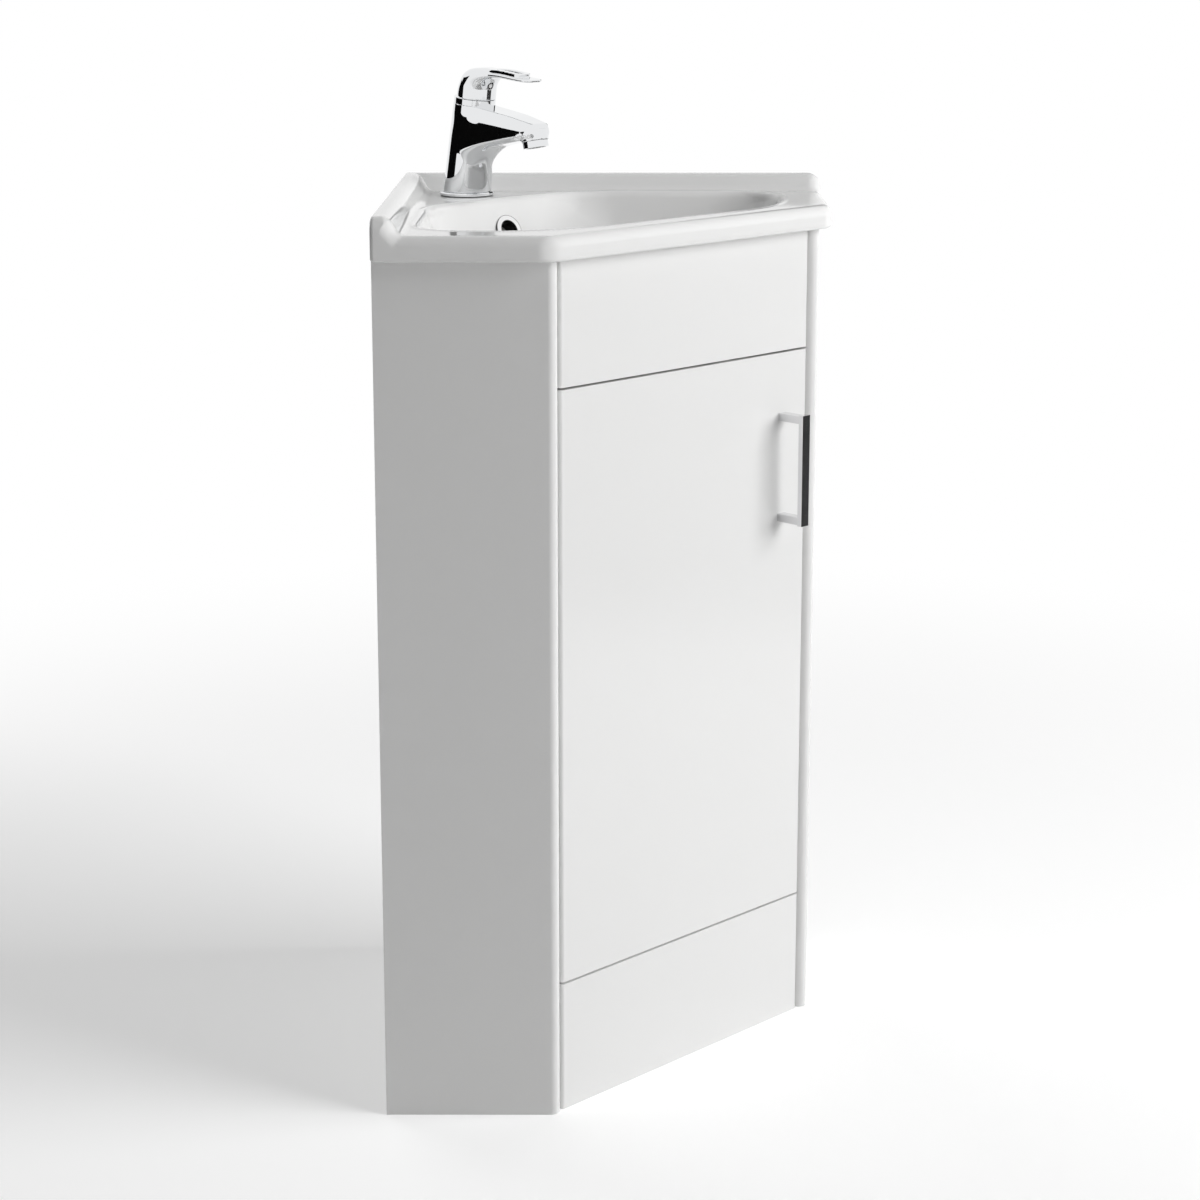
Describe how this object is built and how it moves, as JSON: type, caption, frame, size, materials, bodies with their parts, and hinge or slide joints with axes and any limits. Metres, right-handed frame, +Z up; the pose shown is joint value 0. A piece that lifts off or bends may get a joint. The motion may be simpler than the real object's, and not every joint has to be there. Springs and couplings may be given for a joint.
{
  "type": "corner vanity unit",
  "caption": "Five-sided corner bathroom vanity: white cabinet with one hinged door and bow handle, ceramic basin with upstands, single-lever tap and sprung waste.",
  "frame": {"origin": "on the floor, under the middle of the whole object's plan box", "axes": "+Z is up; the door faces -Y; the room corner that the unit fits is at +Y; the door's handle is on the +X side"},
  "size_m": [0.5778, 0.4148, 0.9171],
  "materials": {
    "white_board": "white satin faced board",
    "carcass_board": "white matt faced board",
    "ceramic": "white gloss glaze",
    "chrome": "polished chrome plate",
    "steel": "bright zinc-plated steel",
    "rubber": "black rubber",
    "plastic": "white moulded plastic",
    "index": "grey gloss plastic"
  },
  "bodies": {
    "base": {"left_return_panel": "white_board", "right_return_panel": "white_board", "left_back_panel": "carcass_board", "right_back_panel": "carcass_board", "base_panel": "carcass_board", "front_rail": "carcass_board", "shelf": "carcass_board", "shelf_pins": "steel", "fascia_panel": "white_board", "plinth_panel": "white_board", "corner_blocks": "plastic", "block_screws": "steel", "wall_brackets": "steel", "bracket_screws": "steel", "hinge_arms": "steel", "hinge_plates": "steel", "hinge_plate_screws": "steel", "hinge_arm_screws": "steel", "basin": "ceramic", "overflow_ring": "chrome", "tap_gasket": "rubber", "tap_base_ring": "chrome", "tap_body": "chrome", "tap_cartridge": "plastic", "cartridge_nut": "steel", "tap_collar": "chrome", "aerator_housing": "chrome", "aerator_screen": "plastic", "fixing_stud": "steel", "horseshoe_washer": "steel", "fixing_nut": "steel", "waste_flange": "chrome", "waste_seal_upper": "rubber", "waste_seal_lower": "rubber", "waste_nut": "plastic", "waste_spider": "steel"},
    "door": {"door_panel": "white_board", "door_handle": "chrome", "handle_screws": "steel", "door_bumpers": "plastic", "hinge_cups": "steel", "hinge_pins": "steel", "hinge_cup_screws": "steel"},
    "lever_turn": {"lever_carrier": "plastic", "lever_pivot_pin": "steel"},
    "lever": {"lever_spindle": "steel", "tap_lever": "chrome", "lever_screw": "steel", "index_plug": "index"},
    "plug": {"plug_cap": "chrome", "plug_stem": "steel", "plug_seal": "rubber"}
  },
  "joints": [
    {"name": "door_hinge", "type": "hinge", "parent": "base", "child": "door", "pos_m": [-0.14671, -0.16936, 0.391], "axis": [0, 0, -1], "range_deg": [0, 90]},
    {"name": "lever_swivel", "type": "hinge", "parent": "base", "child": "lever_turn", "pos_m": [0, 0.10422, 0.8875], "axis": [0, -0.1392, 0.9903], "range_deg": [-45, 45]},
    {"name": "lever_lift", "type": "hinge", "parent": "lever_turn", "child": "lever", "pos_m": [0, 0.10422, 0.8875], "axis": [-1, 0, 0], "range_deg": [0, 20]},
    {"name": "plug_slide", "type": "slide", "parent": "base", "child": "plug", "axis": [0, 0, 1], "range_m": [0, 0.008]}
  ]
}
